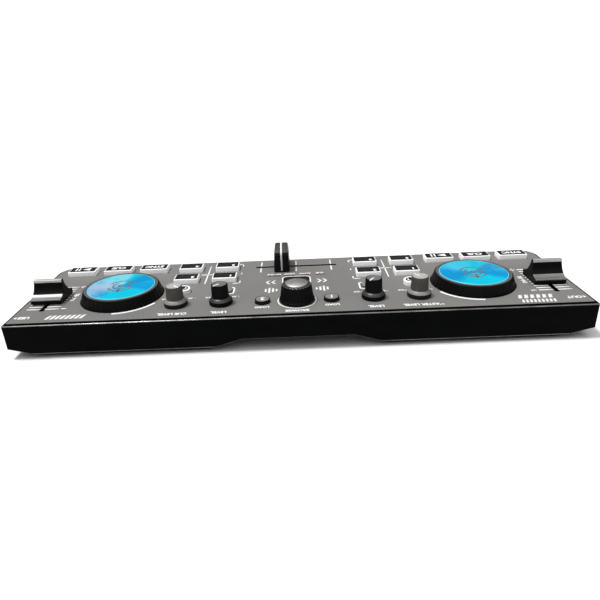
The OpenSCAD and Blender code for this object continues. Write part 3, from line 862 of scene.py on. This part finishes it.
def build_jog_disc(side):
    """Blue touch disc with a bright line near its edge and a plain ring mark."""
    node = f"jog_disc_{side}"
    low, high = box_mm(node)
    radius, thick = cap_size(node)[0], high.z - low.z
    edge = [(0, 0), (radius - 0.2, 0), (radius, 0.2), (radius, thick - 0.3)]
    bright_line = [(radius - 0.1, thick - 0.1), (radius - 0.25, thick), (radius - 0.65, thick)]
    face = [(radius - 0.75, thick - 0.08), (radius - 0.85, thick), (0, thick)]
    bm = bmesh.new()
    lathe(bm, edge + bright_line + face, 128, materials=[0] * 3 + [1] * 3 + [0] * 3)
    top = thick + PRINT_LIFT
    for ring_r, start, end in ((7.4, 25, 155), (7.4, 205, 335), (4.6, -60, 240)):
        ring_print(bm, (0, 0), ring_r, 0.9, top, 2, start, end)
    ring_print(bm, (0, 0), 1.3, 1.2, top, 2)
    bar_print(bm, (0, 6.6), (1.0, 4.8), top, 2)
    materials = [JOG_METAL[side], CYAN_INK, GREY_INK]
    at = (*middle(f"jog_rim_{side}"), low.z)
    stand_for(finish_mesh(bm, f"jog_touch_disc_{side}", materials, at, 38), node)


# ---- keys, pads and buttons


def key_body(bm, half_w, half_d, height, radius):
    """Milky cap with a dark printed top; returns the height of the top."""
    top = height + 0.06
    outline = rounded(half_w, half_d, radius, steps=5)
    lip = rounded(half_w - 0.45, half_d - 0.45, max(radius - 0.3, 0.2), steps=5)
    window = rounded(half_w - 0.7, half_d - 0.7, 0.3, steps=5)
    levels = [(outline, -PANEL_T), (outline, height - 0.4), (between(outline, lip, 0.35), height - 0.12),
              (lip, height), (window, height), (window, top)]
    skin(bm, [ring_at(bm, points, z) for points, z in levels], [0, 0, 0, 0, 1, 1])
    return top


def collar_under(bm, node, is_round=False):
    """The hidden collar and stem below the panel."""
    half_w, half_d, _ = cap_size(node)
    top = -PANEL_T - 0.05
    collar = circle((0, 0), half_w, 40) if is_round else rounded(half_w, half_d, 0.6, steps=3)
    prism(bm, collar, top - 1, top)
    prism(bm, circle((0, 0), STEM_R, 20), box_mm(node)[0].z - PANEL_Z, top - 1)


def play_pause_print(bm, low, material):
    ink(bm, [(-4.6, -2.3), (0.6, 0), (-4.6, 2.3)], low, material)
    for x in (2.3, 4.3):
        bar_print(bm, (x, 0), (0.95, 4.6), low, material)


def build_key(node):
    half_w, half_d, height = cap_size(node)
    half_w, half_d = half_w - COLLAR, half_d - COLLAR
    bm = bmesh.new()
    low = key_body(bm, half_w, half_d, height, 0.6) + PRINT_LIFT
    if node.startswith("pad"):
        word_print(bm, node[-1], (-half_w + 3.6, 1.3), 2.7, low, 2)
    elif node.startswith("play"):
        play_pause_print(bm, low, 2)
    else:
        word_print(bm, node.split("_")[0].upper(), (0, 0), 3.4, low, 2, 0.06)
    collar_under(bm, node)
    finish_cap(bm, node, f"{node}_cap", [MILKY, INLAY, WHITE_INK], 40)


def headphone_print(bm, low, material):
    ring_print(bm, (0, -0.3), 1.75, 0.5, low, material, 0, 180, 20)
    for x in (-1.75, 1.75):
        bar_print(bm, (x, -0.9), (0.9, 1.5), low, material)


def build_round_button(node, body, window, digit=None):
    """Turned button of two materials with a sunk window, which shows a digit or else a headphone."""
    half_w, _, height = cap_size(node)
    radius = half_w - COLLAR
    lip_w, sunk = (0.55, 0.12) if digit else (1.25, 0.3)
    window_r = radius - lip_w
    side = [(0, -PANEL_T), (radius, -PANEL_T), (radius, height - 0.4), (radius - 0.12, height - 0.12)]
    top = [(radius - 0.4, height), (window_r + 0.1, height), (window_r, height - 0.08)]
    bm = bmesh.new()
    lathe(bm, side + top + [(window_r, height - sunk), (0, height - sunk)], 48,
          materials=[0] * 6 + [1] * 2)
    low = height - sunk + PRINT_LIFT
    if digit:
        word_print(bm, digit, (0, 0), 3.2, low, 2, 0.05)
    else:
        headphone_print(bm, low, 2)
    collar_under(bm, node, True)
    finish_cap(bm, node, f"{node}_cap", [body, window, WHITE_INK], 38)


def build_mode_button(node):
    half_w, half_d, height = cap_size(node)
    bm = bmesh.new()
    prism(bm, rounded(half_w - COLLAR, half_d - COLLAR, 1.8, steps=6), -PANEL_T, height)
    for y in (-1.5, 0, 1.5):
        bar_print(bm, (0, y), (3.6, 0.45), height + PRINT_LIFT, 1)
    collar_under(bm, node)
    finish_cap(bm, node, f"{node}_cap", [LOAD_GREY, GREY_INK], 50)


# ---- knobs


def build_small_knob(node):
    """Fluted body on a flared skirt, dished top with a pointer; the skirt's lower band is darkened as
    painted shade.
    """
    skirt_r, _, height = cap_size(node)
    foot_r, waist_r, crown_r = 5.0, 4.75, 4.45
    is_black = node.startswith("level")
    if is_black:
        materials = [BLACK_RUBBER, SKIRT_BLACK, TOP_BLACK, WHITE_INK, PLATE_CORE]
    else:
        materials = [GREY_RUBBER, SKIRT_GREY, TOP_GREY, WHITE_INK, SKIRT_SHADE_GREY]
    skirt = [(0, 0.25), (skirt_r - 0.3, 0.25), (skirt_r, 0.5), (skirt_r, 2.2), (skirt_r - 0.15, 2.5)]
    flare = [(foot_r + 0.5, 3.4), (foot_r, 3.9)]
    body = [(waist_r + 0.05, 4.0), (waist_r, 4.4), (crown_r + 0.1, height - 1.2), (crown_r, height - 0.4)]
    top = [(crown_r - 0.25, height - 0.05), (crown_r - 0.55, height), (crown_r - 0.75, height),
           (crown_r - 1.0, height - 0.25), (0, height - 0.3)]
    crown_slot = 0 if is_black else 2
    flutes = fluted(KNOB_FLUTES, 0.16 if is_black else 0.34, crown_r, 7, (0.5, 1, 1, 1, 0.8))
    bm = bmesh.new()
    # the skirt's lower rows take the fifth material, a darker one, as painted shade where the skirt meets
    # the panel
    lathe(bm, skirt + flare + body + top, KNOB_FLUTES * 8, flutes,
          [4] * 4 + [1] * 3 + [0] * 4 + [crown_slot] + [2] * 3)
    before = len(bm.verts)
    pointer = [(-0.36, 0.3), (0.36, 0.3), (0.36, crown_r - 0.15), (-0.36, crown_r - 0.15)]
    prism(bm, pointer, height - 0.4, height + 0.02, 3)
    bm.verts.ensure_lookup_table()
    turn = Matrix.Rotation(-radians(KNOB_TURN_DEG[node]), 3, "Z")
    bmesh.ops.rotate(bm, verts=bm.verts[before:], matrix=turn)
    finish_cap(bm, node, f"{node}_grip", materials, 42)


def build_browse_knob():
    """Fluted black knob, open at the top for the silver insert."""
    half_w, _, height = cap_size("browse_knob")
    radius = half_w - 0.6
    seat_r = 6.22
    foot = [(0, 1.0), (radius + 0.4, 1.0), (radius + 0.6, 1.2), (radius + 0.3, 1.7)]
    grip = [(radius, 2.0), (radius - 0.1, 2.6), (radius - 1.0, height - 1.0), (radius - 1.25, height - 0.3)]
    crown = [(radius - 1.7, height), (seat_r + 0.25, height - 0.15), (seat_r, height - 0.3)]
    seat = [(seat_r, height - 1), (0, height - 1)]
    flutes = fluted(BROWSE_FLUTES, 0.42, radius, 4, (0.6, 1, 1, 0.7))
    bm = bmesh.new()
    lathe(bm, foot + grip + crown + seat, BROWSE_FLUTES * 8, flutes, [0] * 7 + [1] * 2 + [0] * 3)
    finish_cap(bm, "browse_knob", "browse_grip", [BLACK_RUBBER, CROWN_BLACK], 42)


def build_browse_insert():
    """Silver top of the knob."""
    low, high = box_mm("browse_insert")
    radius, rise = (high.x - low.x) / 2, high.z - low.z
    edge = rise - 1.05
    dome = [(radius * cos(a), edge + (rise - edge) * sin(a))
            for a in map(radians, (10, 25, 40, 55, 70, 82))]
    bm = bmesh.new()
    lathe(bm, [(0, 0), (radius - 0.1, 0), (radius, 0.1), (radius, edge)] + dome + [(0, rise)], 96)
    at = (*middle("browse_insert"), low.z)
    stand_for(finish_mesh(bm, "browse_silver_insert", [SILVER], at, 42), "browse_insert")


# ---- fader caps


def pitch_profile(half, height):
    """Side view of a pitch cap: ridge, hollow flanks, and a rolled lip on a set-back foot at each end."""
    ridge, lip, foot = 1.2, 3.7, 2.8
    run, drop = half - 0.7 - ridge, height - lip
    crest = [(0.8, height), (ridge + 0.15, height - 0.2)]
    flank = [(ridge + run * (1 - cos(a)), lip + drop * (1 - sin(a)))
             for a in map(radians, range(10, 91, 8))]
    end = [(half - 0.25, lip - 0.12), (half, lip - 0.4), (half, foot + 0.12), (half - 0.12, foot)]
    set_back = [(half - 0.3, foot - 0.08), (half - 0.3, 0.7), (half - 0.5, 0.5)]
    return mirrored(crest + flank + end + set_back)


def build_pitch_cap(side):
    node = f"pitch_cap_{side}"
    half_w, half_d, height = cap_size(node)
    pinch, taper_from = 0.7, 2.8
    bm = bmesh.new()
    prism(bm, pitch_profile(half_d, height), -half_w, half_w, 0, across_width)
    # painted reflection: the crest and lip bands take silver where glossy black would look bright; the
    # steep flanks stay black
    for face in bm.faces:
        z = face.calc_center_median().z
        if abs(face.normal.x) > 0.5:
            continue
        if z > height - CREST_BAND:
            face.material_index = 1
        elif LIP_BAND[0] < z < LIP_BAND[1]:
            face.material_index = 2
    for vert in bm.verts:
        share = min(max((vert.co.z - taper_from) / (height - taper_from), 0), 1)
        vert.co.x *= 1 - pinch / half_w * share
    cap = finish_cap(bm, node, f"{node}_grip", [FADER_BLACK, FADER_CREST_REFLECTION, FADER_LIP_REFLECTION], 30)
    round_edges(cap, 0.12, 2, 50)


def build_crossfader_cap():
    """Thin upright blade with a round-shouldered top and a white line over it."""
    node = "crossfader_cap"
    half_w, half_d, height = cap_size(node)
    blade_h = 3
    shoulder = height - blade_h
    top = [(2.2, height - 0.12), (4.2, height - 0.6), (half_d - 4.2, height - 1.5)]
    flank = [(half_d - 2.4, shoulder + 0.5), (half_d - 1.3, shoulder - 0.4), (half_d - 0.9, shoulder - 2)]
    side = [(0, height)] + top + flank + [(half_d, 0.5)]
    bm = bmesh.new()
    prism(bm, side + mirrored(side)[len(side):-1], -half_w, half_w, 0, across_width)
    whole = bm.verts[:] + bm.edges[:] + bm.faces[:]
    bmesh.ops.bisect_plane(bm, geom=whole, plane_co=(0, 0, shoulder), plane_no=(0, 0, 1))
    for vert in bm.verts:
        vert.co.x *= 1 - 0.12 * min(max(vert.co.z / shoulder, 0), 1)
        if vert.co.z > shoulder + 0.01:
            vert.co.x *= 1 - 0.18 * (vert.co.z - shoulder) / blade_h
    for face in bm.faces:
        if face.calc_center_median().z > shoulder and abs(face.normal.x) < 0.5:
            face.material_index = 1
    round_edges(finish_cap(bm, node, "crossfader_grip", [CROSS_BLACK, CROSS_TOP]), 0.7, 4, 40)

    rear = top + flank + [(half_d - 0.08, 1.2)]
    front = [(-y, z) for y, z in reversed(rear)]
    bm = bmesh.new()
    build_ribbon(bm, front + [(0, height)] + rear, CROSS_LINE_W / 2, 0.06)
    go_with(finish_mesh(bm, "crossfader_line", [WHITE_INK], (*middle(node), PANEL_Z)), node)


def build_ribbon(bm, path, half_w, lift):
    """Thin closed strip following a (rearward, up) path, standing "lift" proud of it."""
    rows = []
    for index, (y, z) in enumerate(path):
        before, after = path[max(index - 1, 0)], path[min(index + 1, len(path) - 1)]
        along = Vector((after[0] - before[0], after[1] - before[1])).normalized()
        out = Vector((-along.y, along.x))
        corners = ((-half_w, -0.15), (half_w, -0.15), (half_w, lift), (-half_w, lift))
        rows.append([bm.verts.new((x, y + out.x * d, z + out.y * d)) for x, d in corners])
    skin(bm, rows, [0] * len(rows))


# ---- panel print


def level_print(bm, node, label, low):
    """Name behind a small knob, and min and max marks beside its foot."""
    behind, aside, in_front = 11.6, 7.4, 8.3
    x, y = middle(node)
    word_print(bm, label, (x, y + behind), 2.4, low)
    word_print(bm, "MIN", (x - aside, y - in_front), 1.6, low)
    word_print(bm, "MAX", (x + aside, y - in_front), 1.6, low)


def pitch_print(bm, side, low):
    """Scale of eleven marks on both sides of a pitch slot, with its name, + and -."""
    x = middle(f"pitch_cap_{side}")[0]
    start, length, spacing = 1.3, 7.8, 3.1
    for i in range(-5, 6):
        for away in (-1, 1):
            mark_at = (x + away * (start + length / 2), PITCH_CENTRE_Y + spacing * i)
            bar_print(bm, mark_at, (length, 1.1), low)
    inward = 1 if side == "left" else -1
    word_print(bm, "TEMPO", (x + inward * 12.1, PITCH_CENTRE_Y), 2.4, low, turn=90)
    for i in (-5, 5):
        sign_at = (x + inward * 11.8, PITCH_CENTRE_Y + spacing * i)
        bar_print(bm, sign_at, (3.2, 1.0), low)
        if i < 0:
            bar_print(bm, sign_at, (1.0, 3.2), low)


def pad_group_print(bm, side, low):
    """Cross between the four pads and square brackets on the inner side."""
    pads = [middle(f"pad_{side}_{i}") for i in (1, 2, 3, 4)]
    xs, ys = [sorted({round(at[axis], 2) for at in pads}) for axis in (0, 1)]
    centre = (sum(xs) / 2, sum(ys) / 2)
    bar_print(bm, centre, (0.85, 30), low)
    bar_print(bm, centre, (8.4, 1.1), low)
    to_inner = 9.6
    turn, inner = (1, xs[0] - to_inner) if side == "right" else (-1, xs[1] + to_inner)
    for y, tip in ((-3.0, -1), (-35.2, 1)):
        bar_print(bm, (inner + turn * 1.9, y), (4.6, 0.9), low)
        bar_print(bm, (inner, y + tip * 1.8), (0.8, 4.0), low)
    bar_print(bm, (inner, centre[1]), (0.8, 2.2), low)


def arrow_print(bm, at, pointing, low):
    """Solid triangle pointing at the nearer end of the case."""
    x, y = at
    corners = [(x + pointing * 1.9, y), (x, y + 1.3), (x, y - 1.3)]
    ink(bm, corners[::-pointing], low)


def browse_print(bm, low):
    """Ring round the browse knob and its name, load names, and chevrons pointing outwards."""
    browse = middle("browse_knob")
    ring_print(bm, browse, 10.45, 0.8, low, steps=96)
    word_print(bm, "BROWSE", (0, browse[1] + 13.0), 2.3, low)
    for side, sign in zip(SIDES, (-1, 1)):
        x, y = middle(f"load_button_{side}")
        word_print(bm, "LOAD", (x, y + 6.8), 2.1, low)
        for from_middle in (13.6, 16.9):
            chevron_print(bm, (sign * from_middle, -2.2), (3.2, 5.4), sign, 1.35, low)


def mode_print(bm, low):
    """Framed black box, mode names with red bars, and a level-bar mark at each side."""
    box_at = (0, -3.6)
    prism(bm, rounded(8.0, 6.6, 2.8, at=box_at), low, low + PRINT_H * 0.5, 2)
    frame_print(bm, box_at, 8.7, 7.3, 3.5, 0.75, low)
    modes = ((-14.6, 5.6, "CUE"), (-5.4, 5.2, "AUTO"), (4.2, 6.6, "LOOP"), (13.6, 7.8, "SAMPLE"))
    for x, width, word in modes:
        word_print(bm, word, (x, -14.9), 1.8, low)
        bar_print(bm, (x, -12.3), (width, 1.1), low, 1)
    for side in (-1, 1):
        for k, tall in enumerate((3.0, 5.4, 7.4, 4.2)):
            bar_print(bm, (side * (11.6 + 2.1 * k), 9.8), (1.2, tall), low)


def crossfader_print(bm, low):
    """Marks at the middle and both ends of the crossfader's slot."""
    y = middle("crossfader_cap")[1]
    for x in (-22.3, 0, 22.3):
        for away in (-1, 1):
            bar_print(bm, (x, y + away * 5.4), (0.95, 7.6), low)


def strip_row(bm, count, start, spacing, size, lean, low):
    """Row of slanted strips from "start" to the right."""
    for k in range(count):
        bar_print(bm, (start[0] + spacing * k, start[1]), size, low, 0, lean)


def corner_print(bm, low):
    """Socket names with arrows at the rear corners, and plain slanted strips."""
    word_print(bm, "USB", (147.6, 34.6), 2.7, low)
    word_print(bm, "OUT", (-146.9, 34.6), 2.7, low)
    for side in (-1, 1):
        arrow_print(bm, (side * 151.4, 34.7), side, low)
    strip_row(bm, 8, (115.4, 35.3), 2.65, (1.75, 4.8), 1.4, low)
    strip_row(bm, 6, (-135.4, 32.0), 3.2, (2.0, 4.4), 1.4, low)
    strip_row(bm, 9, (-135.4, 37.5), 2.05, (1.25, 3.6), 0.7, low)


def build_print():
    low = PANEL_Z + PRINT_LIFT
    bm = bmesh.new()
    for node, label in zip(KNOB_TURN_DEG, ("LEVEL", "LEVEL", "MASTER LEVEL", "CUE LEVEL")):
        level_print(bm, node, label, low)
    for side, (start, end) in zip(SIDES, ((30, 88), (92, 150))):
        pitch_print(bm, side, low)
        pad_group_print(bm, side, low)
        frame_print(bm, middle(f"mode_button_{side}"), 6.0, 5.0, 1.9, 1.0, low)
        ring_print(bm, middle(f"jog_rim_{side}"), 24.9, 1.6, low, 0, start, end)
    for draw in (browse_print, mode_print, crossfader_print, corner_print):
        draw(bm, low)
    go_with(finish_mesh(bm, "panel_print", [WHITE_INK, RED_INK, BLACK_INK]), "top_panel")


# ---- CAD nodes that stay


def paint_cad():
    """New materials for the inner parts, which keep their CAD meshes. The rest are steel."""
    plates = ("rotary_pots", "browse_encoder", "usb_socket", "jog_bearing_plates")
    moulded = ("key_switches", "pitch_slide_pots", "crossfader_pot", "audio_jacks", "jog_sensors",
               "control_chips")
    finishes = {"rubber_feet": FOOT, "main_board": BOARD, "pad_leds": LAMP, "browse_sleeve": NYLON,
                **dict.fromkeys(plates, PLATE), **dict.fromkeys(moulded, SOCKET)}
    for node, obj in frame["nodes"].items():
        if not obj.hide_render:
            obj.data.materials.clear()
            obj.data.materials.append(finishes.get(node, STEEL))


# ---- stage


def build_world():
    """White where the camera sees it; as a light, soft from overhead and weaker from behind the case."""
    world = bpy.data.worlds.new("studio")
    bpy.context.scene.world = world
    n = Nodes(world)
    direction = n.split(n.add("TexCoord").outputs["Generated"])
    up, rearward = n.math("MAXIMUM", direction["Z"], 0), n.math("MAXIMUM", direction["Y"], 0)
    overhead = n.math("MULTIPLY", n.math("POWER", up, LIGHT_FALLOFF), ZENITH_LIGHT)
    behind = n.math("MULTIPLY", n.math("MULTIPLY", up, rearward), REAR_FILL)
    seen = n.add("LightPath").outputs["Is Camera Ray"]
    mix = n.add("Mix", {"Factor": seen, "A": n.math("ADD", overhead, behind), "B": BACKDROP_LIGHT})
    background = n.tree.nodes["Background"]
    n.put(background.inputs["Strength"], mix.outputs["Result"])
    n.put(background.inputs["Color"], (1, 1, 1, 1))


def place(name, data, direction, roll_deg=0.0):
    """Adds a light or camera that looks along "direction"."""
    obj = bpy.data.objects.new(name, data)
    obj.rotation_mode = "QUATERNION"
    roll = Quaternion((0, 0, 1), radians(roll_deg))
    obj.rotation_quaternion = Vector(direction).to_track_quat("-Z", "Y") @ roll
    bpy.context.scene.collection.objects.link(obj)
    return obj


def build_stage():
    """Pale paper floor, one soft sun and the photo's camera."""
    bm = bmesh.new()
    bmesh.ops.create_grid(bm, x_segments=8, y_segments=8, size=FLOOR_HALF_W)
    paper = grained("floor_paper", (0.8, 0.8, 0.8), 0.8, 2.5, 0.02, 0.015, 300)
    finish_mesh(bm, "floor", [paper])
    build_world()

    sun = bpy.data.lights.new("key_light", "SUN")
    sun.energy = KEY_ENERGY
    sun.angle = radians(KEY_SPREAD_DEG)
    place("key_light", sun, LIGHT_TRAVEL)

    lens = bpy.data.cameras.new("camera")
    lens.lens = LENS_MM
    lens.sensor_width = SENSOR_MM
    lens.shift_x, lens.shift_y = SHIFT
    lens.clip_start = 0.01
    camera = place("camera", lens, LOOK, ROLL_DEG)
    camera.location = EYE_M
    bpy.context.scene.camera = camera
    bpy.context.scene.view_settings.view_transform = "Standard"


# ---- build

build_case()
build_panel()
for side in SIDES:
    build_jog_rim(side)
    build_jog_disc(side)
    build_pitch_cap(side)
    build_mode_button(f"mode_button_{side}")
    build_round_button(f"listen_button_{side}", MILKY, INLAY)
    build_round_button(f"load_button_{side}", CROSS_BLACK, LOAD_GREY, "1" if side == "left" else "2")
for node in PADS + KEYS:
    build_key(node)
for node in KNOB_TURN_DEG:
    build_small_knob(node)
build_browse_knob()
build_browse_insert()
build_crossfader_cap()
build_print()
paint_cad()
build_stage()
